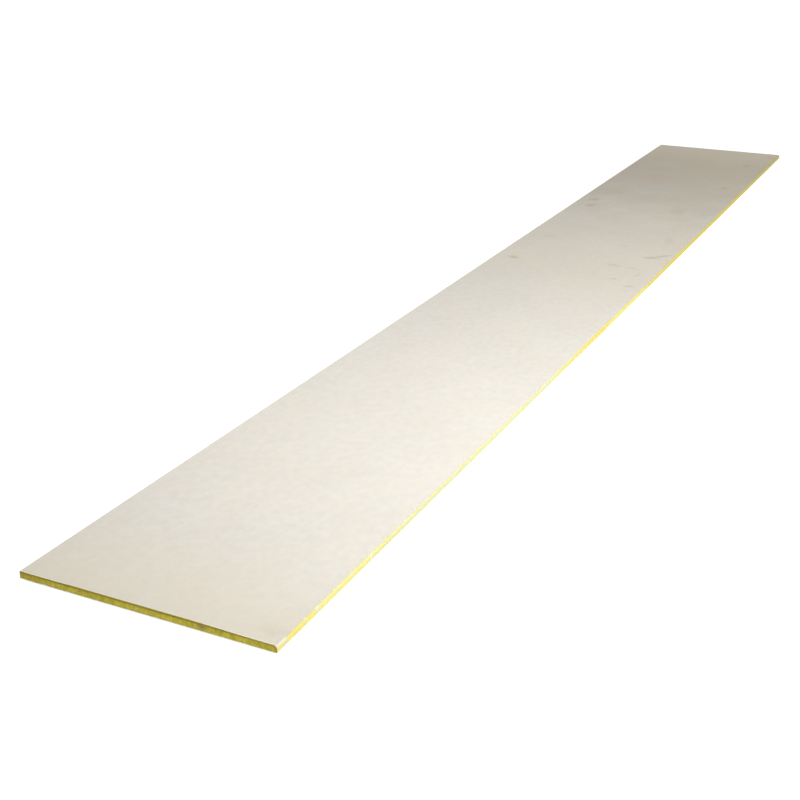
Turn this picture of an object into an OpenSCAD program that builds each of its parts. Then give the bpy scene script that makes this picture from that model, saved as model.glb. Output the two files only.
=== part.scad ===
// Fibre cement board: one sheet of pressed fibre cement, cut to a long plank.
// It lies flat with its smooth face up: X across the board, Y along it, Z up.
// The origin is at the middle of the underside. The long edge at +X has its
// upper arris rounded over to a nose, and the one at -X is left square.

/* [Board] */
// Length of the board from sawn end to sawn end
board_len = 2400; // [600:10:3600]
// Width of the board from the square edge to the nosed edge
board_w = 300; // [100:5:600]
// Thickness of the board
board_t = 8; // [6:0.5:20]

/* [Edges] */
// Radius of the nose along the upper arris of one long edge
nose_r = 4; // [1:0.25:5]
// Radius that sanding leaves on every other arris
arris_r = 0.4; // [0.2:0.1:0.8]

/* [Hidden] */

$fn = 96;

half_w = board_w / 2;
half_len = board_len / 2;

// Axis of the nose, which runs along the board
nose_x = half_w - nose_r;
nose_z = board_t - nose_r;

// How far a cut runs past what it cuts
over = 1;

// What a round of radius r takes off a corner whose arc is centred at [0, 0]
module corner_waste(r) {
    difference() {
        square(r + over);
        circle(r);
    }
}

// Section across the board: a rectangle with the nose at its upper right
// corner and an eased arris at each of the other three
module section() {
    difference() {
        translate([-half_w, 0])
            square([board_w, board_t]);
        translate([nose_x, nose_z])
            corner_waste(nose_r);
        translate([half_w - arris_r, arris_r])
            mirror([0, 1]) corner_waste(arris_r);
        translate([arris_r - half_w, board_t - arris_r])
            mirror([1, 0]) corner_waste(arris_r);
        translate([arris_r - half_w, arris_r])
            rotate(180) corner_waste(arris_r);
    }
}

// Waste of an arris that runs along +X, where the solid lies below and behind
module waste_across(run) {
    rotate([90, 0, 90])
        linear_extrude(run) corner_waste(arris_r);
}

// Waste of an arris that runs up +Z, where the solid lies left and behind
module waste_up(run) {
    linear_extrude(run) corner_waste(arris_r);
}

// Waste of the arris that follows the nose, a quarter turn about its axis
module waste_round_nose() {
    mirror([0, 1, 0]) rotate([90, 0, 0])
        rotate_extrude(angle = 90)
            translate([nose_r - arris_r, 0]) corner_waste(arris_r);
}

// Easing right round the end at +Y
module end_easing() {
    eased_y = half_len - arris_r;
    // with the smooth face, as far as the start of the nose
    translate([-half_w - over, eased_y, board_t - arris_r])
        waste_across(over + half_w + nose_x);
    // round the nose
    translate([nose_x, eased_y, nose_z])
        waste_round_nose();
    // with the flat that is left under the nose
    translate([half_w - arris_r, eased_y, -over])
        waste_up(over + nose_z);
    // with the square edge
    translate([arris_r - half_w, eased_y, -over])
        mirror([1, 0, 0]) waste_up(over + board_t + over);
    // with the back
    translate([-half_w - over, eased_y, arris_r])
        mirror([0, 0, 1]) waste_across(over + board_w + over);
}

module board() {
    color("#DED8CC")
        difference() {
            rotate([90, 0, 0])
                linear_extrude(board_len, center = true) section();
            end_easing();
            mirror([0, 1, 0]) end_easing();
        }
}

board();
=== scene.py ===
# %% [markdown]
# # A fibre cement board
#
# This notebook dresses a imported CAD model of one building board: a long, thin
# plank of pressed fibre cement with a smooth pale face, a nosed long edge and a
# coat of yellow paint round its edges. The CAD model fixes every size. Blender
# adds what a drawing leaves out: sawn ends, chipped arrises, fibre, paint and light.

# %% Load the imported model
import math
import random

import bmesh
import bpy
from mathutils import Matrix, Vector, noise


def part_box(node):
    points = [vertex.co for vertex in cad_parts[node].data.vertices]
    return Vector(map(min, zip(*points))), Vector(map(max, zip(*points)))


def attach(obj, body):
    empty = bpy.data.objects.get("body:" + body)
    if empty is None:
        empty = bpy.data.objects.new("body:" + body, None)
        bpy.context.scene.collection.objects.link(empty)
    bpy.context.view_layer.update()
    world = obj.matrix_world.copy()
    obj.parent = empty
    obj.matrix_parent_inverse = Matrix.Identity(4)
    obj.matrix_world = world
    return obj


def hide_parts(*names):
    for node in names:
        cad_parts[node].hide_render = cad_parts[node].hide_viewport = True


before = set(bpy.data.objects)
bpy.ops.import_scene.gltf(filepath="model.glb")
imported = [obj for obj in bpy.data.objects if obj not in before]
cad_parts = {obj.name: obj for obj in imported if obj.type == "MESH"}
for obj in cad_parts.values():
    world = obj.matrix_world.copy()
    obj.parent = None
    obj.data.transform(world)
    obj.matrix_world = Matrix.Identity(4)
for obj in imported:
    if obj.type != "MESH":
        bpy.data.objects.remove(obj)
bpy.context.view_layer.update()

# %% [markdown]
# ## Sizes
#
# On the real board the sizes come from the press, the saw and the sander. Here
# they could be typed in again, but then two files would have to agree. It is
# safer to read them off the CAD node: its box gives length, width and thickness,
# and the ends of its flat top tell how far the nose and the eased arris reach in.
# Points within a hundredth of a millimetre of the top count as flat. That takes in
# the arris's first facet, so its reach comes out 0.05 mm short of the drawn 0.4 mm.

# %% Read the sizes off the CAD node
MM = 0.001
LEVEL = 0.01 * MM

low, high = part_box("board")
size = high - low
middle = (low + high) / 2
half_len = size.y / 2

cad_points = [vertex.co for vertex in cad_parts["board"].data.vertices]
flat_top_x = [point.x for point in cad_points if point.z > high.z - LEVEL]
nose = high.x - max(flat_top_x)
arris = min(flat_top_x) - low.x
nose_axis = Vector((high.x - nose, middle.y, high.z - nose))

print(f"board {size.x / MM:.1f} x {size.y / MM:.1f} x {size.z / MM:.1f} mm")
print(f"nose radius {nose / MM:.2f} mm, eased arris {arris / MM:.2f} mm")

# %% [markdown]
# ## The blank
#
# A board starts as a sawn rectangle. One long edge is then routed to a round
# nose, and a sanding block takes the sharpness off every other arris. The same
# order works with bmesh: make a cube, stretch it to size, bevel one edge with
# the nose's radius, then bevel whatever is still sharp with the arris radius.
# A profile of 0.5 makes a bevel a true arc.

# %% Saw the blank and round its edges
NOSE_FACETS = 10
ARRIS_FACETS = 3
SHARP = math.radians(45)

plank = bmesh.new()
bmesh.ops.create_cube(plank, size=1.0)
bmesh.ops.scale(plank, vec=size, verts=plank.verts)
bmesh.ops.translate(plank, vec=middle, verts=plank.verts)


def is_nose_edge(edge):
    """True for the upper long edge on the nosed side."""
    return all(v.co.x > middle.x and v.co.z > middle.z for v in edge.verts)


def round_over(edges, radius, facets):
    """Bevels edges to an arc."""
    bmesh.ops.bevel(
        plank,
        geom=edges,
        offset=radius,
        affect="EDGES",
        segments=facets,
        profile=0.5,
        material=-1,
    )


round_over([edge for edge in plank.edges if is_nose_edge(edge)], nose, NOSE_FACETS)
plank.normal_update()
sharp_edges = [edge for edge in plank.edges if edge.calc_face_angle(0) > SHARP]
round_over(sharp_edges, arris, ARRIS_FACETS)
print("blank:", len(plank.faces), "faces after rounding", len(sharp_edges), "sharp edges")

# %% [markdown]
# ## Rows of faces where the wear will be
#
# A mesh can only be dented where it has vertices. The middle of the face needs
# none, because it stays flat, but the edges and the sawn ends need many. Cutting
# planes (bisect_plane) lay a few long rows beside each arris, which also keeps
# the shading of the arris off the flat face. One row lies just past the widest
# chip, so that no chip can tilt the strips that cross the whole board. Then
# subdivide_edges divides the long rows into short ones: about 1.5 mm along the
# board, 1.2 mm across its ends.

# %% Cut rows beside the arrises
SUPPORT = 2.2 * arris
CHIP_RIM = 2 * MM
MID_ROW = 1.6 * MM
END_BLOCK = 6 * MM
ON_PLANE = 1e-7


def cut_through(point, direction):
    """Cuts every face that a plane crosses."""
    everything = plank.verts[:] + plank.edges[:] + plank.faces[:]
    bmesh.ops.bisect_plane(
        plank, geom=everything, dist=ON_PLANE, plane_co=point, plane_no=direction
    )


for x in (low.x + SUPPORT, low.x + CHIP_RIM):
    cut_through((x, 0, 0), (1, 0, 0))
for x in (nose_axis.x - SUPPORT, high.x - CHIP_RIM, high.x - SUPPORT):
    cut_through((x, 0, 0), (1, 0, 0))
for z in (low.z + SUPPORT, middle.z - MID_ROW, middle.z + MID_ROW, high.z - SUPPORT):
    cut_through((0, 0, z), (0, 0, 1))
for inset in (SUPPORT, END_BLOCK / 2, END_BLOCK):
    cut_through((0, middle.y - half_len + inset, 0), (0, 1, 0))
    cut_through((0, middle.y + half_len - inset, 0), (0, 1, 0))
print("after the cuts:", len(plank.faces), "faces")

# %% Divide the rows
ROW_ALONG = 1.5 * MM
ROW_ACROSS = 1.2 * MM
NUDGE = 1e-6


def span(edge, axis):
    """How far an edge runs along one axis."""
    return abs(edge.verts[0].co[axis] - edge.verts[1].co[axis])


def in_end_block(edge):
    """True for an edge inside the last few millimetres of the board, and not on their border."""
    return all(abs(v.co.y - middle.y) > half_len - END_BLOCK + NUDGE for v in edge.verts)


long_rows = [edge for edge in plank.edges if span(edge, 1) > size.y / 2]
bmesh.ops.subdivide_edges(plank, edges=long_rows, cuts=round(size.y / ROW_ALONG))
end_rows = [edge for edge in plank.edges if span(edge, 0) > size.x / 2 and in_end_block(edge)]
bmesh.ops.subdivide_edges(plank, edges=end_rows, cuts=round(size.x / ROW_ACROSS))
print("divided:", len(plank.verts), "vertices,", len(plank.faces), "faces")

# %% [markdown]
# ## Which finish each face wears
#
# The board has three finishes: the sealed upper side with its painted long
# edges, the painted saw cuts at the two ends, and the plain back. The coat of a
# saw cut runs on over its lower arris and round the corner to the square edge,
# but stops at the turn to the upper face and to the nosed edge. Each face gets the
# number of its material slot now, while the mesh is still exact, because the
# wear that comes next tilts the faces a little.

# %% Sort the faces by finish
SEALED_FACE, SAWN_END, PLAIN_BACK = 0, 1, 2
MOSTLY_ENDWARDS = 0.6
PARTLY = 0.2
STRAIGHT_DOWN = 0.95


def finish_of(face):
    """The material slot for a face, from the way it faces."""
    away = face.normal
    if abs(away.y) > MOSTLY_ENDWARDS:
        return SAWN_END
    if abs(away.y) > PARTLY and min(away.x, away.z) < -PARTLY:
        return SAWN_END
    if away.z < -STRAIGHT_DOWN:
        return PLAIN_BACK
    return SEALED_FACE


plank.normal_update()
for face in plank.faces:
    face.material_index = finish_of(face)
slot_counts = [sum(f.material_index == slot for f in plank.faces) for slot in range(3)]
print("faces of sealed face, sawn ends and back:", slot_counts)

# %% [markdown]
# ## Wear
#
# A saw leaves faint upright strokes across a sawn end, and fibre cement is
# brittle, so its arrises lose small chips when it is stacked or slid. Both could
# be faked with bump, but a bump never changes an outline. So the vertices
# themselves move, and always inwards: the worn board then still fits in the box
# of the drawing. Blender's own noise gives the same numbers on every run, and
# the chips come from a seeded random generator. The noise rises and falls about
# once per unit, so x times 650 gives strokes about 1.5 mm apart.

# %% Saw strokes on the ends, ripples on the nose
STROKE_DEPTH = 0.10 * MM
RIPPLE_DEPTH = 0.05 * MM


def unevenness(x, y, z):
    """Noise at one place, from 0 to 1."""
    return min(1.0, max(0.0, 0.5 + 0.5 * noise.noise(Vector((x, y, z)))))


sawn_points = 0
nose_points = 0
for vertex in plank.verts:
    at = vertex.co.copy()
    side = 1 if at.y > middle.y else -1
    if half_len - abs(at.y - middle.y) < SUPPORT / 2:
        stroke = unevenness(at.x * 650, at.z * 55, 3.1 * side)
        pit = unevenness(at.x * 190, at.z * 260, 7.7 * side)
        vertex.co.y -= side * STROKE_DEPTH * (0.65 * stroke + 0.35 * pit)
        sawn_points += 1
    from_axis = Vector((at.x - nose_axis.x, 0, at.z - nose_axis.z))
    if from_axis.x > 0 and from_axis.z > 0:
        ripple = unevenness(at.x * 90, at.y * 42, at.z * 90)
        vertex.co -= from_axis.normalized() * RIPPLE_DEPTH * ripple
        nose_points += 1
print("moved", sawn_points, "vertices on the sawn ends and", nose_points, "on the nose")

# %% Where the arrises run
# Each arris is its place, with None along its run, and the way inwards from it
TOP_LEFT = ((low.x, None, high.z), (1, 0, -1))
LOW_LEFT = ((low.x, None, low.z), (1, 0, 1))
LOW_RIGHT = ((high.x, None, low.z), (-1, 0, 1))
TOP_NEAR = ((None, low.y, high.z), (0, 1, -1))
LOW_NEAR = ((None, low.y, low.z), (0, 1, 1))
TOP_FAR = ((None, high.y, high.z), (0, -1, -1))
LOW_FAR = ((None, high.y, low.z), (0, -1, 1))
print("the lower near arris lies at y", round(LOW_NEAR[0][1], 3), "and z", round(LOW_NEAR[0][2], 3))

# %% Chips along the arrises
CHIP_SPREAD = 3.0
CHIP_LENGTHS = (1.5, 5.0)
CHIP_DEPTHS = (0.25, 0.6)
CLEAR_OF_CORNERS = 0.47


def chip(line, along, half_length, depth):
    """Sinks the vertices round one point of an arris, deepest in the middle."""
    place, inward = line
    centre = Vector([along if part is None else part for part in place])
    axis = place.index(None)
    push = Vector(inward).normalized()
    for vertex in plank.verts:
        away = vertex.co - centre
        share = abs(away[axis]) / half_length
        if share >= 1:
            continue
        away[axis] = 0
        reach = away.length / (CHIP_SPREAD * depth)
        if reach >= 1:
            continue
        torn = 0.7 + 0.3 * noise.noise(vertex.co * 900)
        vertex.co += push * depth * (1 - share * share) * (1 - reach) * torn


dice = random.Random(24)
lots = (
    (TOP_LEFT, 9, 1),
    (LOW_LEFT, 12, 1),
    (LOW_RIGHT, 12, 1),
    (TOP_FAR, 5, 0),
    (LOW_NEAR, 6, 0),
    (LOW_FAR, 6, 0),
)
for line, count, axis in lots:
    for _ in range(count):
        along = middle[axis] + dice.uniform(-CLEAR_OF_CORNERS, CLEAR_OF_CORNERS) * size[axis]
        chip(line, along, dice.uniform(*CHIP_LENGTHS) * MM, dice.uniform(*CHIP_DEPTHS) * MM)

# The upper near arris has only two small bruises
chip(TOP_NEAR, low.x + 57 * MM, 2.4 * MM, 0.4 * MM)
chip(TOP_NEAR, low.x + 186 * MM, 2.0 * MM, 0.45 * MM)
print("chips:", sum(count for line, count, axis in lots) + 2)

# %% [markdown]
# ## The finished piece
#
# The mesh goes into one object that stands at the origin, unturned and unscaled,
# as the CAD node does, so that patterns on its Object coordinates stay in place.
# It rides on the board's body and replaces the CAD node in the picture. Small
# faces are shaded smooth and the wide strips of the two flats are shaded flat,
# so that a worn arris can't throw a shade far across the face. The cutting
# operators may list the faces in another order on each run, so the faces are
# sorted first, by a number that each one has for itself.

# %% Put the faces in order
PLACES = 1e5


def place_in_line(face):
    """A number of its own for each face, made of its three lowest vertex numbers."""
    first, second, third = sorted(vertex.index for vertex in face.verts)[:3]
    return (first * PLACES + second) * PLACES + third


bmesh.ops.recalc_face_normals(plank, faces=plank.faces)
plank.verts.index_update()
plank.faces.sort(key=place_in_line)
print("sorted", len({place_in_line(face) for face in plank.faces}), "faces by their own numbers")

# %% Make the piece
WIDE_STRIP = 100 * MM * MM

for face in plank.faces:
    face.smooth = face.calc_area() < WIDE_STRIP
print("flat strips:", sum(not face.smooth for face in plank.faces))
plank_mesh = bpy.data.meshes.new("plank")
plank.to_mesh(plank_mesh)
plank.free()
plank_piece = bpy.data.objects.new("plank", plank_mesh)
bpy.context.scene.collection.objects.link(plank_piece)
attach(plank_piece, "root")
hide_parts("board")
plank_mesh.calc_loop_triangles()
print("plank:", len(plank_mesh.loop_triangles), "triangles")

# %% [markdown]
# ## Helpers for shader nodes
#
# A material is a graph of nodes. Written out in full, each node takes three or
# four lines, which hides what the graph does. These helpers add a node and plug
# it in at once: they take the tree first, and every value may be a number or the
# output of another node. Only paint adds no node: it works out a colour.

# %% Helpers: sums and positions


def feed(tree, socket, value):
    """Plugs an output into a socket, or sets a plain value on it."""
    if isinstance(value, bpy.types.NodeSocket):
        tree.links.new(value, socket)
    else:
        socket.default_value = value


def sums(tree, operation, *values):
    """One Math node."""
    node = tree.nodes.new("ShaderNodeMath")
    node.operation = operation
    for socket, value in zip(node.inputs, values):
        feed(tree, socket, value)
    return node.outputs[0]


def vector_sums(tree, operation, *values):
    """One Vector Math node."""
    node = tree.nodes.new("ShaderNodeVectorMath")
    node.operation = operation
    for socket, value in zip(node.inputs, values):
        feed(tree, socket, value)
    return node.outputs["Value" if operation == "LENGTH" else "Vector"]


def split(tree, position):
    """The x, y and z of a position."""
    node = tree.nodes.new("ShaderNodeSeparateXYZ")
    feed(tree, node.inputs[0], position)
    return node.outputs


def turn_flat(tree, position, angle):
    """Turns a position about the z axis, by radians."""
    node = tree.nodes.new("ShaderNodeVectorRotate")
    node.rotation_type = "Z_AXIS"
    feed(tree, node.inputs["Vector"], position)
    feed(tree, node.inputs["Angle"], angle)
    return node.outputs["Vector"]


print("helpers for sums:", [helper.__name__ for helper in (feed, sums, vector_sums, split, turn_flat)])

# %% Helpers: slopes and noise


def fade(tree, value, start, end, first=0.0, last=1.0):
    """Goes smoothly from first to last while value goes from start to end."""
    node = tree.nodes.new("ShaderNodeMapRange")
    node.interpolation_type = "SMOOTHSTEP"
    for socket, given in zip(node.inputs, (value, start, end, first, last)):
        feed(tree, socket, given)
    return node.outputs[0]


def grain(tree, position, scale, detail=2.0, roughness=0.5, stretch=None):
    """A noise pattern, 0 to 1 round 0.5. Stretch squeezes it by axis."""
    if stretch:
        position = vector_sums(tree, "MULTIPLY", position, stretch)
    node = tree.nodes.new("ShaderNodeTexNoise")
    feed(tree, node.inputs["Vector"], position)
    feed(tree, node.inputs["Scale"], scale)
    feed(tree, node.inputs["Detail"], detail)
    feed(tree, node.inputs["Roughness"], roughness)
    return node.outputs["Fac"]


def swing(tree, pattern, amount):
    """Centres a noise on zero and scales it."""
    return sums(tree, "MULTIPLY", sums(tree, "SUBTRACT", pattern, 0.5), amount)


print("helpers for slopes and noise:", [helper.__name__ for helper in (fade, grain, swing)])

# %% Helpers: colours


def blend(tree, share, first, second):
    """Mixes two colours: share 0 is the first and 1 the second."""
    node = tree.nodes.new("ShaderNodeMix")
    node.data_type = "RGBA"
    feed(tree, node.inputs["Factor"], share)
    feed(tree, node.inputs["A"], first)
    feed(tree, node.inputs["B"], second)
    return node.outputs["Result"]


def lay_over(tree, colour, *layers):
    """Lays tones over a colour, one after another. A layer is its share and its tone."""
    for share, tone in layers:
        colour = blend(tree, share, colour, tone)
    return colour


def paint(red, green, blue):
    """A colour given in the 0 to 255 of a paint chart, as the linear values that nodes use."""
    parts = [part / 255 for part in (red, green, blue)]
    return (*[p / 12.92 if p < 0.04045 else ((p + 0.055) / 1.055) ** 2.4 for p in parts], 1.0)


print("the middle grey of a paint chart is", round(paint(128, 128, 128)[0], 3), "in linear values")

# %% Helpers: groups
FLOAT, VECTOR = "NodeSocketFloat", "NodeSocketVector"


def start_group(name, inputs, outputs):
    """A new node group. An input is a name, a kind and a value, an output a name and a kind."""
    group = bpy.data.node_groups.new(name, "ShaderNodeTree")
    for title, kind, value in inputs:
        socket = group.interface.new_socket(title, in_out="INPUT", socket_type=kind)
        socket.default_value = value
    for title, kind in outputs:
        group.interface.new_socket(title, in_out="OUTPUT", socket_type=kind)
    entrance = group.nodes.new("NodeGroupInput").outputs
    way_out = group.nodes.new("NodeGroupOutput").inputs
    return group, entrance, way_out


def place_group(tree, group, **values):
    """Places a group in a tree. Half_Width=2 feeds the socket called Half Width."""
    node = tree.nodes.new("ShaderNodeGroup")
    node.node_tree = group
    for name, value in values.items():
        feed(tree, node.inputs[name.replace("_", " ")], value)
    return node.outputs


print("helpers for groups:", [helper.__name__ for helper in (start_group, place_group)])

# %% [markdown]
# ## Fibre cement
#
# The stuff of the board is cement with short cellulose fibres in it, pressed
# between felt and a steel plate. Close up the face is cloudy, because the slurry
# never mixes evenly, and then mottled, grainy, and here and there marked by a
# fibre or a pinhole. All of these are noise at their own scale, from a hand's
# breadth down to a fifth of a millimetre. Face and back share them, so they make
# one group, which gives out a tone from dark (0) to pale (1) and a height in mm.

# %% Group: fibre cement, its tone
cement, given, result = start_group(
    "fibre cement",
    [
        ("Position", VECTOR, (0, 0, 0)),
        ("Clouds", FLOAT, 1.0),
        ("Mottle", FLOAT, 1.0),
        ("Grain", FLOAT, 1.0),
        ("Relief", FLOAT, 1.0),
    ],
    [("Tone", FLOAT), ("Fibres", FLOAT), ("Pinholes", FLOAT), ("Height", FLOAT)],
)
position = given["Position"]
clouds = grain(cement, position, 7.0, detail=4.0, roughness=0.72)
mottle = grain(cement, position, 105.0, detail=3.0, roughness=0.6, stretch=(1.0, 0.7, 1.0))
speckle = grain(cement, position, 900.0, detail=3.0, roughness=0.65)

tone = 0.5
patterns = ((clouds, "Clouds", 1.2), (mottle, "Mottle", 1.3), (speckle, "Grain", 0.9))
for pattern, strength, full_swing in patterns:
    amount = sums(cement, "MULTIPLY", given[strength], full_swing)
    tone = sums(cement, "ADD", tone, swing(cement, pattern, amount))
feed(cement, result["Tone"], tone)
print("tone of the cement:", len(cement.nodes), "nodes")

# %% Group: fibre cement, its fibres and pinholes
LEANS = (0.35, -0.5)
HAIR = (2200.0, 190.0, 2200.0)

# Fibres: noise squeezed into hairs that lean either way off the board's length
hairs = None
for lean in LEANS:
    turned = turn_flat(cement, position, lean)
    strands = fade(cement, grain(cement, turned, 1.0, detail=1.0, stretch=HAIR), 0.70, 0.78)
    hairs = strands if hairs is None else sums(cement, "MAXIMUM", hairs, strands)
feed(cement, result["Fibres"], hairs)

# Pinholes: small round spots in one Voronoi cell out of six
cells = cement.nodes.new("ShaderNodeTexVoronoi")
feed(cement, cells.inputs["Vector"], position)
feed(cement, cells.inputs["Scale"], 85.0)
cell_pick = cement.nodes.new("ShaderNodeSeparateColor")
feed(cement, cell_pick.inputs["Color"], cells.outputs["Color"])
picked = sums(cement, "GREATER_THAN", cell_pick.outputs["Red"], 0.84)
holes = sums(cement, "MULTIPLY", picked, fade(cement, cells.outputs["Distance"], 0.045, 0.02))
feed(cement, result["Pinholes"], holes)
print("with fibres and pinholes:", len(cement.nodes), "nodes")

# %% Group: fibre cement, its relief
height = swing(cement, speckle, 0.035)
height = sums(cement, "ADD", height, swing(cement, mottle, 0.06))
height = sums(cement, "ADD", height, sums(cement, "MULTIPLY", hairs, 0.015))
height = sums(cement, "SUBTRACT", height, sums(cement, "MULTIPLY", holes, 0.25))
feed(cement, result["Height"], sums(cement, "MULTIPLY", height, given["Relief"]))
print("group:", cement.name, "with", len(cement.nodes), "nodes")

# %% [markdown]
# ## The edge coat
#
# The yellow coat goes on with a roller that runs along the edge, so it laps a
# little way round the arris and stops in a wavering line. On a rounded nose it
# stops part of the way up the arc. One number says all that: how far a point
# lies in from the edge. Where that is less than the coat's reach, there is
# paint. The reach wavers slowly, frays finely, and swells into a nub where the
# roller carried too much. The same group serves every edge with its own reach.
# It also gives out a rim, the narrow band of coat just inside that line.

# %% Group: edge coat
edge_coat, given, result = start_group(
    "edge coat",
    [
        ("Position", VECTOR, (0, 0, 0)),
        ("Inset", FLOAT, 0.0),
        ("Reach", FLOAT, 1.0),
        ("Waver", FLOAT, 0.5),
    ],
    [("Coat", FLOAT), ("Rim", FLOAT)],
)
position = given["Position"]
slow = swing(edge_coat, grain(edge_coat, position, 26.0, detail=2.0), 2.2)
fray = swing(edge_coat, grain(edge_coat, position, 260.0, detail=3.0, roughness=0.6), 1.6)
beads = grain(edge_coat, position, 1.0, detail=1.0, stretch=(50.0, 170.0, 50.0))
nubs = sums(edge_coat, "MULTIPLY", fade(edge_coat, beads, 0.60, 0.74), 4.0)
sway = sums(edge_coat, "ADD", sums(edge_coat, "ADD", slow, fray), nubs)
reached = sums(edge_coat, "MULTIPLY_ADD", sway, given["Waver"], given["Reach"])
inside = sums(edge_coat, "SUBTRACT", reached, given["Inset"])
feed(edge_coat, result["Coat"], fade(edge_coat, inside, -0.05, 0.12))
begins = fade(edge_coat, inside, -0.05, 0.15)
ends = fade(edge_coat, inside, 0.6, 0.15)
feed(edge_coat, result["Rim"], sums(edge_coat, "MULTIPLY", begins, ends))
print("group:", edge_coat.name, "with", len(edge_coat.nodes), "nodes")

# %% [markdown]
# ## Marks
#
# A used board carries marks: thumb smudges on the face, a fleck of paint, a spot
# where the roller skipped. They could be noise, but a few well placed marks look
# more like handling than an even scatter does. Each one is a soft oval. The
# group turns and squeezes the position until the oval is a unit circle, and the
# distance from its centre then gives the strength.

# %% Group: oval mark
oval, given, result = start_group(
    "oval mark",
    [
        ("Position", VECTOR, (0, 0, 0)),
        ("Centre", VECTOR, (0, 0, 0)),
        ("Half Size", VECTOR, (1, 1, 1)),
        ("Turn", FLOAT, 0.0),
        ("Softness", FLOAT, 0.6),
        ("Strength", FLOAT, 1.0),
    ],
    [("Mark", FLOAT)],
)
moved = vector_sums(oval, "SUBTRACT", given["Position"], given["Centre"])
turned = turn_flat(oval, moved, given["Turn"])
radius = vector_sums(oval, "LENGTH", vector_sums(oval, "DIVIDE", turned, given["Half Size"]))
inner = sums(oval, "SUBTRACT", 1.0, given["Softness"])
mark = fade(oval, radius, inner, 1.0, 1.0, 0.0)
feed(oval, result["Mark"], sums(oval, "MULTIPLY", mark, given["Strength"]))
print("group:", oval.name, "with", len(oval.nodes), "nodes")

# %% Helper: many marks at once
EVERYWHERE = 10.0


def ovals(tree, position, marks, softness):
    """The strongest of several oval marks, so that two marks never add up.

    A mark is (x, y, half length, half width, turn, strength): metres for y, which
    runs along the board, millimetres for x and the halves, degrees for the turn.
    """
    total = None
    for x, y, half_length, half_width, turn, strength in marks:
        out = place_group(
            tree,
            oval,
            Position=position,
            Centre=(x * MM, y, 0.0),
            Half_Size=(half_width * MM, half_length * MM, EVERYWHERE),
            Turn=math.radians(turn),
            Softness=softness,
            Strength=strength,
        )["Mark"]
        total = out if total is None else sums(tree, "MAXIMUM", total, out)
    return total


print("a mark reaches", EVERYWHERE, "m up and down, so only its place on the flat counts")

# %% [markdown]
# ## Finish 1: the sealed face and its long edges
#
# The upper side is bare, sealed cement: matt, a warm grey white. It runs over
# the nose until the paint begins, so both finishes live in one material, with
# the coat's mask to choose between them. Where a finish changes is said by an
# inset, the millimetres from an edge, as a maker would mark it out.

# %% Helpers: materials


def start_material(name):
    """A material of one Principled shader. Gives it, its tree, the shader and Object coordinates."""
    material = bpy.data.materials.new(name)
    material.use_nodes = True
    tree = material.node_tree
    shader = tree.nodes["Principled BSDF"]
    place = tree.nodes.new("ShaderNodeTexCoord").outputs["Object"]
    return material, tree, shader, place


def in_mm(tree, length):
    """Turns metres into millimetres."""
    return sums(tree, "MULTIPLY", length, 1 / MM)


def bump(tree, shader, height):
    """Feeds a height in millimetres to the shader's normal."""
    node = tree.nodes.new("ShaderNodeBump")
    feed(tree, node.inputs["Height"], height)
    node.inputs["Distance"].default_value = MM
    node.inputs["Strength"].default_value = 1.0
    feed(tree, shader.inputs["Normal"], node.outputs["Normal"])


print("helpers for materials:", [helper.__name__ for helper in (start_material, in_mm, bump)])

# %% Sealed face: insets and the plain cement
CEMENT_DARK = paint(212, 208, 199)
CEMENT_PALE = paint(229, 225, 216)
HANDLED = (-0.1, 0.8, 0.5, 3.0)

sealed, tree, shader, place = start_material("sealed face")
x, y, _ = split(tree, place)
inset_nose = in_mm(tree, sums(tree, "SUBTRACT", high.x, x))
inset_back = in_mm(tree, sums(tree, "SUBTRACT", x, low.x))
off_centre = sums(tree, "ABSOLUTE", sums(tree, "SUBTRACT", y, middle.y))
inset_end = in_mm(tree, sums(tree, "SUBTRACT", half_len, off_centre))

# The far half has been handled more, so it is cloudier
handled = fade(tree, y, *HANDLED)
skin = place_group(tree, cement, Position=place, Clouds=handled, Mottle=0.8, Grain=0.6, Relief=1.0)
cement_colour = blend(tree, skin["Tone"], CEMENT_DARK, CEMENT_PALE)
print("sealed face:", len(tree.nodes), "nodes for the plain cement")

# %% [markdown]
# ### Long soft stretches
#
# Boards lie in a stack, and what sticks out of it ages: it yellows, takes a
# rusty bloom from damp and dries out at the tip. A stretch that a neighbour
# covered stays clean, and the dust settles beside it. Each stretch runs from
# the first y to the second in metres, and from the third number to the fourth
# in strength, or from 0 to 1 where only two numbers are given. Ageing is
# stronger towards the nose and dust is stronger towards the square edge.

# %% Sealed face: aged, stained, dried, covered and dusty stretches
AGED_MIDDLE = (-0.30, 0.15, 0.0, 0.24)
AGED_FAR = (0.45, 1.02, 0.0, 0.40)
AGED_NEAR = (-1.0, -1.25, 0.0, 0.45)
STAINED = (-0.2, 0.8, 0.10, 0.24)
DRIED = (0.98, 1.2)
COVERED_FROM, COVERED_TO = (-0.05, 0.25, 0.0, 0.13), (0.62, 0.38)
DUSTY_FROM, DUSTY_TO = (0.50, 0.65, 0.0, 0.18), (1.05, 0.90)
CEMENT_AGED = paint(226, 216, 192)
CEMENT_STAINED = paint(228, 206, 172)
CEMENT_DRY = paint(241, 231, 211)
CEMENT_COVERED = paint(246, 240, 229)
CEMENT_DUSTY = paint(200, 194, 184)

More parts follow.
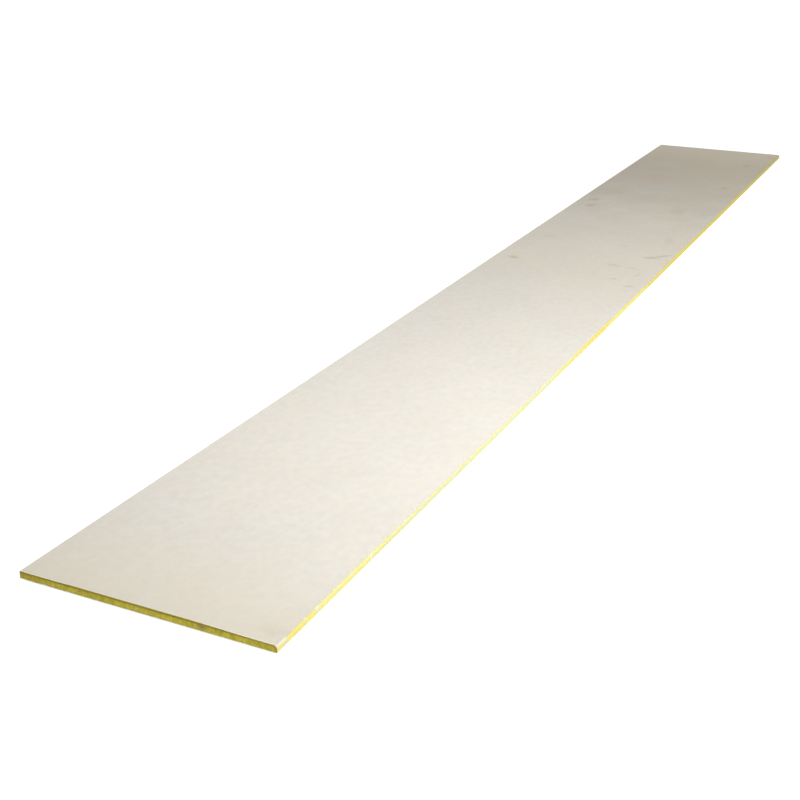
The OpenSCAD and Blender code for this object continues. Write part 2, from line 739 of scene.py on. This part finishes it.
aged = sums(tree, "ADD", fade(tree, y, *AGED_MIDDLE), fade(tree, y, *AGED_FAR))
aged = sums(tree, "MULTIPLY", aged, sums(tree, "MULTIPLY_ADD", x, 1.2, 1.0))
aged = sums(tree, "MAXIMUM", aged, fade(tree, y, *AGED_NEAR))
bloom = fade(tree, grain(tree, place, 12.0, detail=5.0, roughness=0.75), 0.35, 0.65)
bloom = sums(tree, "MULTIPLY", bloom, fade(tree, y, *STAINED))
dried = fade(tree, y, *DRIED)
covered = sums(tree, "MULTIPLY", fade(tree, y, *COVERED_FROM), fade(tree, y, *COVERED_TO))
dusty = sums(tree, "MULTIPLY", fade(tree, y, *DUSTY_FROM), fade(tree, y, *DUSTY_TO))
dusty = sums(tree, "MULTIPLY", dusty, sums(tree, "MULTIPLY_ADD", x, -2.5, 1.0))
cement_colour = lay_over(
    tree,
    cement_colour,
    (aged, CEMENT_AGED),
    (bloom, CEMENT_STAINED),
    (dried, CEMENT_DRY),
    (covered, CEMENT_COVERED),
    (dusty, CEMENT_DUSTY),
)
print("sealed face:", len(tree.nodes), "nodes with its stretches")

# %% Sealed face: fibres, pinholes and the routed margin
FIBRE = paint(188, 178, 158)
PINHOLE = paint(150, 140, 122)
CEMENT_ROUTED = paint(205, 199, 187)

# The router has cut through the sealed skin, so the bare cement of the nose is greyer
fibres = sums(tree, "MULTIPLY", skin["Fibres"], 0.25)
pinholes = sums(tree, "MULTIPLY", skin["Pinholes"], 0.5)
routed = sums(tree, "MULTIPLY", fade(tree, inset_nose, 5.0, 1.5), 0.8)
cement_colour = lay_over(
    tree, cement_colour, (fibres, FIBRE), (pinholes, PINHOLE), (routed, CEMENT_ROUTED)
)
print("sealed face:", len(tree.nodes), "nodes for all of the cement")

# %% [markdown]
# ### The coat's line
#
# The roller doesn't run at one height: here it rides up the nose and there it
# drops. Each step below changes the reach by so many millimetres while y goes
# from the first number to the second. Beyond the line lie a few flecks that the
# roller threw, and on the eased arris at each end the coat is mostly worn off.

# %% Sealed face: how far the coat reaches
NOSE_REACH, NOSE_WAVER = 1.10, 0.35
BACK_REACH, BACK_WAVER = 0.20, 0.10
REACH_STEPS = (
    (-1.15, -1.06, 0.30),
    (-1.03, -0.85, -0.35),
    (-0.51, -0.35, 0.30),
    (-0.27, -0.15, -0.48),
    (-0.02, 0.06, 0.18),
    (0.38, 0.60, 0.25),
)

reach = NOSE_REACH
for start, stop, step in REACH_STEPS:
    reach = sums(tree, "ADD", fade(tree, y, start, stop, 0.0, step), reach)
nose_coat = place_group(
    tree, edge_coat, Position=place, Inset=inset_nose, Reach=reach, Waver=NOSE_WAVER
)
back_coat = place_group(
    tree, edge_coat, Position=place, Inset=inset_back, Reach=BACK_REACH, Waver=BACK_WAVER
)
coat = sums(tree, "MAXIMUM", nose_coat["Coat"], back_coat["Coat"])
print("the coat reaches", NOSE_REACH, "mm in over the nose, and changes in", len(REACH_STEPS), "steps")

# %% Sealed face: flecks beyond the line, and the worn arris at each end
FLECKS = (
    (146.7, 0.124, 5.0, 2.3, 0, 1.0),
    (147.6, 0.153, 4.0, 1.6, 0, 0.8),
    (147.6, 0.172, 4.0, 1.6, 0, 0.9),
    (147.5, 0.210, 4.5, 1.8, 0, 0.9),
    (146.8, 0.239, 6.0, 2.3, 0, 1.0),
    (136.1, 0.106, 2.0, 1.0, 0, 0.5),
    (147.6, -1.169, 3.0, 1.5, 0, 0.45),
    (148.2, -1.149, 1.2, 1.2, 0, 0.7),
    (148.2, -1.114, 1.2, 1.4, 0, 0.7),
    (148.0, -1.085, 1.5, 1.5, 0, 0.7),
    (148.0, -1.066, 1.2, 1.4, 0, 0.7),
    (147.4, -1.048, 1.4, 2.2, 0, 0.8),
    (147.2, -1.030, 1.5, 2.6, 0, 0.9),
    (146.5, -0.979, 2.1, 3.0, 25, 1.0),
    (147.8, -0.935, 1.3, 1.9, 0, 0.7),
    (148.0, -0.862, 1.5, 1.6, 0, 0.6),
    (148.0, -0.827, 1.5, 1.6, 0, 0.6),
    (147.9, -0.785, 1.8, 1.8, 0, 0.8),
    (148.0, -0.600, 2.0, 1.7, 0, 0.7),
    (148.0, -0.440, 2.0, 1.7, 0, 0.7),
    (66.0, -1.1992, 0.9, 1.3, 0, 0.9),
    (97.0, -1.1990, 1.0, 1.6, 0, 0.9),
)
WORN_OFF = 0.75

coat = sums(tree, "MAXIMUM", coat, ovals(tree, place, FLECKS, softness=0.4))
arris_fray = sums(tree, "MULTIPLY_ADD", grain(tree, place, 420.0, detail=2.0), 0.6, 0.25)
bare_arris = fade(tree, sums(tree, "SUBTRACT", inset_end, arris_fray), 0.25, -0.10)
keep = sums(tree, "SUBTRACT", 1.0, sums(tree, "MULTIPLY", bare_arris, WORN_OFF))
print("flecks of coat:", len(FLECKS))

# %% [markdown]
# ### Gaps in the coat
#
# In a few places the roller skipped, and the cement there is bare and chalky.
# The square edge rubs on its neighbours in the stack, so its coat is scuffed in
# short strokes along the board.

# %% Sealed face: skips and scuffs
SKIPS = (
    (149.1, -1.192, 9.0, 1.0, 0, 0.7),
    (149.0, -1.186, 5.0, 6.0, 0, 0.55),
    (149.0, -1.149, 2.4, 6.0, 0, 0.38),
    (149.0, -1.126, 4.0, 6.0, 0, 0.62),
    (149.0, -1.105, 1.6, 4.0, 0, 0.3),
    (149.0, -1.084, 1.8, 3.0, 0, 0.4),
    (149.0, -1.014, 3.0, 6.0, 0, 0.60),
    (148.6, -0.933, 2.2, 1.2, 0, 0.9),
    (147.6, -0.666, 3.2, 1.8, 0, 1.0),
    (149.0, -0.497, 4.0, 4.0, 0, 0.4),
)
CEMENT_CHALK = paint(250, 247, 236)

skips = ovals(tree, place, SKIPS, softness=0.5)
chalky = sums(tree, "MULTIPLY", skips, fade(tree, inset_nose, 1.9, 1.2))
unskipped = sums(tree, "MULTIPLY", keep, sums(tree, "SUBTRACT", 1.0, skips))
coat = sums(tree, "MULTIPLY", coat, unskipped)

rubs = grain(tree, place, 1.0, detail=4.0, roughness=0.7, stretch=(60.0, 28.0, 260.0))
on_square_edge = fade(tree, inset_back, 0.6, 0.3, 0.0, 0.65)
scuffs = sums(tree, "MULTIPLY", fade(tree, rubs, 0.56, 0.70), on_square_edge)
coat = sums(tree, "MULTIPLY", coat, sums(tree, "SUBTRACT", 1.0, scuffs))
print("places that the roller skipped:", len(SKIPS))

# %% [markdown]
# ### Thick and thin coat
#
# The roller starts full at the near end and lays a thick, pale yellow coat. Then
# it runs dry, and the cement shows through. Near the middle it is full again. At
# the rim the coat feathers out and looks duller. High up the nose the coat is
# painted darker: painted shade that tones down the arc where it faces the lamp.

# %% Sealed face: how thick the coat lies along the nose
RUNS_DRY, FULL_AGAIN = (-1.15, -1.11), (-0.23, -0.52)
DRIER = (-1.02, -0.92, 0.71, 0.79)
STARTS_FULL = (-0.88, -1.16)
SECOND_FROM, SECOND_TO = (-0.24, -0.18), (0.03, -0.03)
NOSE_TOP_SHADE = (1.7, 2.3, 0.0, 0.6)
COAT = paint(229, 211, 70)
COAT_THIN = paint(213, 216, 173)
COAT_THICK = paint(246, 236, 138)
COAT_RIM = paint(216, 198, 96)
COAT_PAINTED_SHADE = paint(214, 200, 134)

stretched = sums(tree, "MULTIPLY", fade(tree, y, *RUNS_DRY), fade(tree, y, *FULL_AGAIN))
stretched = sums(tree, "MULTIPLY", stretched, fade(tree, y, *DRIER))
rolled = grain(tree, place, 1.0, detail=3.0, roughness=0.6, stretch=(240.0, 110.0, 240.0))
thin = sums(tree, "ADD", stretched, swing(tree, rolled, 1.2))
thick = sums(tree, "MULTIPLY", fade(tree, y, *STARTS_FULL), sums(tree, "SUBTRACT", 1.2, rolled))
second = sums(tree, "MULTIPLY", fade(tree, y, *SECOND_FROM), fade(tree, y, *SECOND_TO))
thick = sums(tree, "MAXIMUM", thick, sums(tree, "MULTIPLY", second, 0.42))
coat_colour = lay_over(
    tree,
    COAT,
    (thin, COAT_THIN),
    (thick, COAT_THICK),
    (sums(tree, "MULTIPLY", nose_coat["Rim"], 0.50), COAT_RIM),
    # High up the nose: painted shade on the arc that faces the lamp
    (fade(tree, inset_nose, *NOSE_TOP_SHADE), COAT_PAINTED_SHADE),
)
print("sealed face:", len(tree.nodes), "nodes with its coat")

# %% [markdown]
# ### Smudges
#
# Hands leave brownish smudges where the board was carried and turned. A clean
# oval would look stamped, so the position wanders a little before the ovals are
# laid on it, and their borders come out uneven.

# %% Sealed face: smudges from handling
SMUDGES = (
    (-121.0, 0.553, 20, 17, 20, 0.68),
    (-111.0, 0.500, 16, 15, 15, 0.75),
    (-114.0, 0.064, 15, 18, 20, 0.85),
    (-107.5, 0.228, 18, 12, 0, 0.3),
    (111.5, 0.168, 22, 12, 58, 0.85),
    (128.0, 0.186, 30, 7, 40, 0.8),
    (64.0, 0.094, 13, 24, 0, 0.5),
    (98.0, 0.087, 9, 20, 8, 0.35),
    (88.0, 0.012, 7, 12, 0, 0.6),
    (124.0, -0.017, 10, 16, 0, 0.5),
    (120.0, 0.050, 18, 8, 25, 0.3),
    (46.0, 0.224, 16, 14, 0, 0.2),
    (111.0, 0.297, 40, 14, -14, 0.25),
    (70.0, 0.525, 40, 24, 0, 0.28),
    (109.0, 0.782, 20, 14, 0, 0.5),
    (103.0, 1.037, 22, 18, 0, 0.4),
    (137.0, 1.150, 18, 14, 0, 0.35),
    (132.0, -1.180, 16, 26, 0, 0.2),
)
STRAY, HALF_STRAY = (0.016, 0.020, 0.0), (0.008, 0.010, 0.0)

wander = grain(tree, place, 45.0, detail=3.0)
strayed = vector_sums(tree, "MULTIPLY_ADD", wander, STRAY, place)
strayed = vector_sums(tree, "SUBTRACT", strayed, HALF_STRAY)
smudges = ovals(tree, strayed, SMUDGES, softness=0.9)
print("smudges:", len(SMUDGES))

# %% [markdown]
# ### The lap from the near end
#
# The last two millimetres before each end are paler: partly the sanding block's
# work, partly a painted highlight along the arris. Over them the coat of the near
# saw cut has lapped by up to a millimetre, along the middle of the board's width
# and hardly at its corners. It lies over everything else, so it comes last.

# %% Sealed face: put the colours together
SMUDGE = paint(160, 134, 98)
CEMENT_SANDED_AND_HIGHLIT = paint(244, 240, 230)
COAT_LAP = paint(160, 149, 44)
LAP_FROM, LAP_TO = (-0.110, -0.080, 0.15, 1.0), (0.115, 0.055)
NEAR_HALF = (0.001, -0.001)

# Paler end margins: sanded cement plus a painted highlight along the arris
margin = fade(tree, inset_end, 2.6, 0.4)
lap_width = sums(tree, "MULTIPLY", fade(tree, x, *LAP_FROM), fade(tree, x, *LAP_TO))
lap_fray = swing(tree, grain(tree, place, 300.0, detail=3.0), 0.7)
lap_width = sums(tree, "ADD", lap_width, lap_fray)
lapped = fade(tree, sums(tree, "SUBTRACT", lap_width, inset_end), -0.10, 0.20)
lapped = sums(tree, "MULTIPLY", lapped, fade(tree, y, *NEAR_HALF))
dressed = lay_over(
    tree,
    cement_colour,
    (sums(tree, "MULTIPLY", smudges, 0.42), SMUDGE),
    (sums(tree, "MULTIPLY", margin, 0.55), CEMENT_SANDED_AND_HIGHLIT),
    (chalky, CEMENT_CHALK),
    (coat, coat_colour),
    (lapped, COAT_LAP),
)
feed(tree, shader.inputs["Base Color"], dressed)
print("sealed face:", len(tree.nodes), "nodes for its colour")

# %% Sealed face: sheen and relief
matt = sums(tree, "MULTIPLY_ADD", skin["Tone"], 0.08, 0.76)
matt = sums(tree, "SUBTRACT", matt, sums(tree, "MULTIPLY", smudges, 0.10))
shine = sums(tree, "MULTIPLY_ADD", rolled, 0.16, 0.40)
roughness = tree.nodes.new("ShaderNodeMix")
feed(tree, roughness.inputs["Factor"], coat)
feed(tree, roughness.inputs["A"], matt)
feed(tree, roughness.inputs["B"], shine)
feed(tree, shader.inputs["Roughness"], roughness.outputs["Result"])
shader.inputs["Specular IOR Level"].default_value = 0.2

# The coat stands 0.07 mm proud, with fine ridges that the roller drew along it
ridges = grain(tree, place, 1.0, detail=2.0, stretch=(1500.0, 45.0, 1500.0))
coat_height = sums(tree, "MULTIPLY_ADD", sums(tree, "SUBTRACT", ridges, 0.5), 0.03, 0.07)
coat_height = sums(tree, "MULTIPLY", coat_height, coat)
bump(tree, shader, sums(tree, "ADD", coat_height, skin["Height"]))
print(sealed.name, "has", len(tree.nodes), "nodes")

# %% [markdown]
# ## Finish 2: the painted saw cuts
#
# A saw tears the fibres and opens the pores, and the coat sinks into them. So
# the ends come out deeper and duller than the nose, streaked upright by the
# blade and finely scored by its teeth, and darker at the two corners. Their
# colour also holds painted shading: paler towards the underside and darker
# towards the top. A bead of coat gathers just below the upper arris and follows
# the nose round. Its distance from the outline is that of a rounded rectangle:
# the length of what lies beyond the nose's axis, or the larger of the two offsets
# inside it.

# %% Painted saw cut: distance from the outline
sawn, tree, shader, place = start_material("painted saw cut")
x, _, z = split(tree, place)
across = sums(tree, "SUBTRACT", x, nose_axis.x)
upward = sums(tree, "SUBTRACT", z, nose_axis.z)
beyond_x = sums(tree, "MAXIMUM", across, 0.0)
beyond_z = sums(tree, "MAXIMUM", upward, 0.0)
square_x = sums(tree, "MULTIPLY", beyond_x, beyond_x)
square_z = sums(tree, "MULTIPLY", beyond_z, beyond_z)
past_axis = sums(tree, "SQRT", sums(tree, "ADD", square_x, square_z))
before_axis = sums(tree, "MINIMUM", sums(tree, "MAXIMUM", across, upward), 0.0)
outline = sums(tree, "SUBTRACT", nose, sums(tree, "ADD", past_axis, before_axis))
inset_top = in_mm(tree, outline)
print("the outline turns at a nose radius of", round(nose / MM, 2), "mm")

# %% Painted saw cut: streaks, tooth marks and the bead
DARK_LEFT, DARK_RIGHT = (-0.105, -0.150, 0.0, 0.40), (0.120, 0.150, 0.0, 0.20)
CUT_DEEP = paint(196, 179, 46)
CUT_PALE = paint(243, 228, 84)
CUT_BEAD = paint(148, 132, 12)

streaks = grain(tree, place, 1.0, detail=3.0, roughness=0.65, stretch=(380.0, 380.0, 60.0))
blotches = grain(tree, place, 160.0, detail=4.0, roughness=0.65)
teeth = grain(tree, place, 1.0, detail=3.0, roughness=0.7, stretch=(1700.0, 1700.0, 150.0))
pores = grain(tree, place, 1500.0, detail=2.0, roughness=0.7)
pale = swing(tree, streaks, 1.2)
for pattern, amount in ((blotches, 2.6), (teeth, 1.0), (pores, 0.9)):
    pale = sums(tree, "ADD", pale, swing(tree, pattern, amount))
# Painted shading: paler towards the underside, darker towards the top
pale = sums(tree, "ADD", pale, sums(tree, "MULTIPLY_ADD", z, -70.0, 0.85))
corners = sums(tree, "ADD", fade(tree, x, *DARK_LEFT), fade(tree, x, *DARK_RIGHT))
pale = sums(tree, "SUBTRACT", pale, corners)
bead_weight = sums(tree, "MULTIPLY_ADD", blotches, 0.6, 0.45)
bead = sums(tree, "MULTIPLY", fade(tree, inset_top, 2.4, 0.9), bead_weight)
cut_colour = blend(tree, bead, blend(tree, pale, CUT_DEEP, CUT_PALE), CUT_BEAD)
print("painted saw cut:", len(tree.nodes), "nodes so far")

# %% [markdown]
# ### Marks on the saw cuts
#
# Dirt has filled a few nicks, a painted contact shadow runs along the foot, and
# in three places the coat is worn to the cement. A saw cut stands upright, so
# here a mark's second number is its height in metres instead of its y, and both
# ends carry the same marks. Towards the nose the sanding block has rubbed the
# coat's edge away.

# %% Painted saw cut: marks, specks and the rubbed edge
# Dark marks: dirt in a few nicks, and a painted contact shadow along the foot
CUT_DIRT_AND_SHADOW_MARKS = (
    (-149.8, 0.0040, 5.0, 1.0, 0, 0.7),
    (-93.0, 0.0071, 0.9, 2.2, 0, 0.8),
    # The long thin mark along the foot is a painted contact shadow
    (-50.0, 0.0003, 1.0, 110.0, 0, 0.25),
    (36.0, 0.0070, 1.0, 1.8, 0, 0.9),
    (66.0, 0.0064, 0.9, 3.5, 0, 0.6),
    (84.0, 0.0062, 1.2, 1.2, 0, 0.6),
    (91.0, 0.0060, 1.3, 1.0, 0, 0.5),
    (112.0, 0.0012, 0.8, 2.0, 0, 0.6),
)
CUT_BARE = (
    (69.0, 0.0050, 4.2, 7.0, 0, 1.0),
    (-9.0, 0.0042, 2.0, 2.2, 0, 0.6),
    (-48.0, 0.0052, 3.0, 1.4, 0, 0.6),
)
CUT_DIRT_AND_SHADOW = paint(92, 80, 24)
CUT_CEMENT = paint(172, 148, 100)
CUT_SPECK = paint(104, 88, 30)
CUT_RUBBED = paint(240, 236, 204)

upright = tree.nodes.new("ShaderNodeCombineXYZ")
feed(tree, upright.inputs["X"], x)
feed(tree, upright.inputs["Y"], z)
darker = ovals(tree, upright.outputs[0], CUT_DIRT_AND_SHADOW_MARKS, softness=0.7)
barer = ovals(tree, upright.outputs[0], CUT_BARE, softness=0.9)
specks = fade(tree, grain(tree, place, 520.0, detail=2.0), 0.68, 0.76)
rubbed_width = sums(tree, "MULTIPLY_ADD", blotches, 0.5, fade(tree, x, 0.05, 0.14, -0.7, 0.35))
rubbed = fade(tree, sums(tree, "SUBTRACT", inset_top, rubbed_width), 0.15, -0.15)
cut_colour = lay_over(
    tree,
    cut_colour,
    (sums(tree, "MULTIPLY", darker, 0.8), CUT_DIRT_AND_SHADOW),
    (sums(tree, "MULTIPLY", barer, 0.8), CUT_CEMENT),
    (sums(tree, "MULTIPLY", specks, 0.5), CUT_SPECK),
    (rubbed, CUT_RUBBED),
)
feed(tree, shader.inputs["Base Color"], cut_colour)
print("painted saw cut:", len(tree.nodes), "nodes for its colour")

# %% Painted saw cut: sheen and relief
feed(tree, shader.inputs["Roughness"], sums(tree, "MULTIPLY_ADD", pale, -0.15, 0.72))
shader.inputs["Specular IOR Level"].default_value = 0.3
cut_height = sums(tree, "ADD", swing(tree, streaks, 0.14), swing(tree, pores, 0.08))
cut_height = sums(tree, "ADD", cut_height, swing(tree, teeth, 0.10))
bump(tree, shader, cut_height)
print(sawn.name, "has", len(tree.nodes), "nodes")

# %% [markdown]
# ## Finish 3: the back
#
# The back lay on the felt. It is greyer and rougher than the face and shows the
# even lines of the belt sander that brought the board to thickness. Some coat
# has crept under from the edges.

# %% Plain back
BACK_DARK = paint(196, 188, 174)
BACK_PALE = paint(214, 207, 194)
BELT_LINE = paint(224, 218, 207)
BACK_FIBRE = paint(170, 156, 134)

back, tree, shader, place = start_material("sanded back")
x, y, _ = split(tree, place)
across = sums(tree, "ABSOLUTE", sums(tree, "SUBTRACT", x, middle.x))
along = sums(tree, "ABSOLUTE", sums(tree, "SUBTRACT", y, middle.y))
inset_side = sums(tree, "SUBTRACT", size.x / 2, across)
inset_end = sums(tree, "SUBTRACT", half_len, along)
inset = in_mm(tree, sums(tree, "MINIMUM", inset_side, inset_end))
under = place_group(tree, cement, Position=place, Clouds=1.3, Mottle=1.2, Grain=1.0, Relief=1.6)
belt = grain(tree, place, 1.0, detail=3.0, roughness=0.7, stretch=(420.0, 5.0, 1.0))
crept = place_group(tree, edge_coat, Position=place, Inset=inset, Reach=0.9, Waver=0.4)
back_colour = lay_over(
    tree,
    blend(tree, under["Tone"], BACK_DARK, BACK_PALE),
    (fade(tree, belt, 0.45, 0.75, 0.0, 0.35), BELT_LINE),
    (sums(tree, "MULTIPLY", under["Fibres"], 0.35), BACK_FIBRE),
    (crept["Coat"], COAT),
)
feed(tree, shader.inputs["Base Color"], back_colour)
feed(tree, shader.inputs["Roughness"], sums(tree, "MULTIPLY_ADD", under["Tone"], 0.1, 0.82))
shader.inputs["Specular IOR Level"].default_value = 0.25
bump(tree, shader, sums(tree, "ADD", under["Height"], swing(tree, belt, 0.06)))
print(back.name, "has", len(tree.nodes), "nodes")

# %% Dress the plank
for material in (sealed, sawn, back):
    plank_mesh.materials.append(material)
print("plank wears:", [material.name for material in plank_mesh.materials])

# %% [markdown]
# ## Floor
#
# A board in storage lies flat on a plain floor. The floor should look like white
# paper and still show the board's shadow. So its paint is a pale matt grey, and
# it gives a little light of its own, but only to rays that look at a background
# and not to those that light the board. That lifts the lit floor to white and
# leaves the shadow just below it. The lift is stronger farther out, where the
# lamp reaches less, and weaker along the toe of the near end, where the shadow is
# deepest. Its two distances are shares of the board's length.

# %% Lay the floor
FLOOR_HALF = 14.0
FLOOR_GAP = 0.05 * MM

floor_bm = bmesh.new()
bmesh.ops.create_grid(floor_bm, x_segments=1, y_segments=1, size=FLOOR_HALF)
bmesh.ops.translate(floor_bm, vec=(0, 0, low.z - FLOOR_GAP), verts=floor_bm.verts)
floor_mesh = bpy.data.meshes.new("floor")
floor_bm.to_mesh(floor_mesh)
floor_bm.free()
floor = bpy.data.objects.new("floor", floor_mesh)
bpy.context.scene.collection.objects.link(floor)
print("floor:", 2 * FLOOR_HALF, "m square")

# %% Paint the floor
FLOOR_GREY = (0.8, 0.8, 0.8, 1.0)
WHITE = (1.0, 1.0, 1.0, 1.0)
LIFT_NEAR, LIFT_FAR = 0.64, 1.00
LIFT_STARTS, LIFT_ENDS = 0.4, 0.9
TOE = 3 * MM
TOE_LIFT = 0.4


def seen_directly(tree):
    """1 for rays that look at a background: from the camera, a gloss or through glass."""
    ray = tree.nodes.new("ShaderNodeLightPath")
    seen = sums(tree, "MAXIMUM", ray.outputs["Is Camera Ray"], ray.outputs["Is Glossy Ray"])
    return sums(tree, "MAXIMUM", seen, ray.outputs["Is Transmission Ray"])


floor_paint, tree, shader, place = start_material("pale floor")
shader.inputs["Base Color"].default_value = FLOOR_GREY
shader.inputs["Roughness"].default_value = 1.0
shader.inputs["Specular IOR Level"].default_value = 0.0
shader.inputs["Emission Color"].default_value = WHITE
x, y, _ = split(tree, place)
from_middle = vector_sums(tree, "LENGTH", place)
lift = fade(tree, from_middle, size.y * LIFT_STARTS, size.y * LIFT_ENDS, LIFT_NEAR, LIFT_FAR)
toe = fade(tree, y, low.y, low.y - TOE, TOE_LIFT, 1.0)
beside = fade(tree, y, low.y, low.y + 0.5 * MM)
left_of_it = fade(tree, x, low.x + 20 * MM, low.x - 1 * MM)
right_of_it = fade(tree, x, high.x - 1 * MM, high.x + 1 * MM)
for spared in (beside, left_of_it, right_of_it):
    toe = sums(tree, "MAXIMUM", toe, spared)
lift = sums(tree, "MULTIPLY", lift, toe)
feed(tree, shader.inputs["Emission Strength"], sums(tree, "MULTIPLY", lift, seen_directly(tree)))
floor_mesh.materials.append(floor_paint)
print(floor_paint.name, "has", len(tree.nodes), "nodes")

# %% [markdown]
# ## Light
#
# A studio lights a pale board with one large soft lamp near its closer end, and
# with white walls that fill the shadows. The lamp's light fades along the board,
# so its far end is darker. A long, low strip of light beside the nosed edge plays
# the white card that keeps a side from going dull. The walls are the world: a
# dim, even light for the board, but plain white where the camera sees past the
# floor.

# %% Hang the lamps
SOFT_LAMP = ((0.528, -0.782, 1.156), (0.0, 0.428, 0.0), 1.30, 1.30, 22.2)
SIDE_STRIP = ((1.350, -0.200, 0.300), (0.0, -0.200, 0.05), 2.40, 0.35, 5.0)


def hang_lamp(name, stand, aim, width, height, watts):
    """Hangs a rectangular lamp that faces a point and that the camera doesn't see."""
    lamp = bpy.data.lights.new(name, "AREA")
    lamp.shape = "RECTANGLE"
    lamp.size = width
    lamp.size_y = height
    lamp.energy = watts
    lamp_object = bpy.data.objects.new(name, lamp)
    lamp_object.location = stand
    lamp_object.rotation_euler = (Vector(aim) - Vector(stand)).to_track_quat("-Z", "Y").to_euler()
    lamp_object.visible_camera = False
    bpy.context.scene.collection.objects.link(lamp_object)


hang_lamp("soft lamp", *SOFT_LAMP)
hang_lamp("side strip", *SIDE_STRIP)
print("lamps:", SOFT_LAMP[-1], "and", SIDE_STRIP[-1], "W")

# %% Paint the walls
WALLS = 0.286

world = bpy.data.worlds.new("studio")
world.use_nodes = True
bpy.context.scene.world = world
tree = world.node_tree
walls = tree.nodes["Background"]
walls.inputs["Color"].default_value = WHITE
seen = seen_directly(tree)
feed(tree, walls.inputs["Strength"], sums(tree, "MULTIPLY_ADD", seen, 1.0 - WALLS, WALLS))
bpy.context.scene.view_settings.view_transform = "Standard"
print("walls:", WALLS, "for the board and 1 behind it")

# %% [markdown]
# ## Camera
#
# The camera stands low over the near end, a step to the nosed side, and looks
# along the board, so that the plank runs away from it. A moderately long lens
# keeps the perspective calm.

# %% Camera
CAMERA_AT = Vector((0.6704, -2.0117, 0.6479))
CAMERA_DOWN = math.radians(22.66)
CAMERA_LEFT = math.radians(26.07)
SENSOR_WIDTH = 36.0
LENS = 56.45

camera_data = bpy.data.cameras.new("camera")
camera_data.sensor_width = SENSOR_WIDTH
camera_data.lens = LENS
camera = bpy.data.objects.new("camera", camera_data)
camera.location = CAMERA_AT
camera.rotation_euler = (math.pi / 2 - CAMERA_DOWN, 0.0, CAMERA_LEFT)
bpy.context.scene.collection.objects.link(camera)
bpy.context.scene.camera = camera
print("camera:", camera_data.lens, "mm lens")
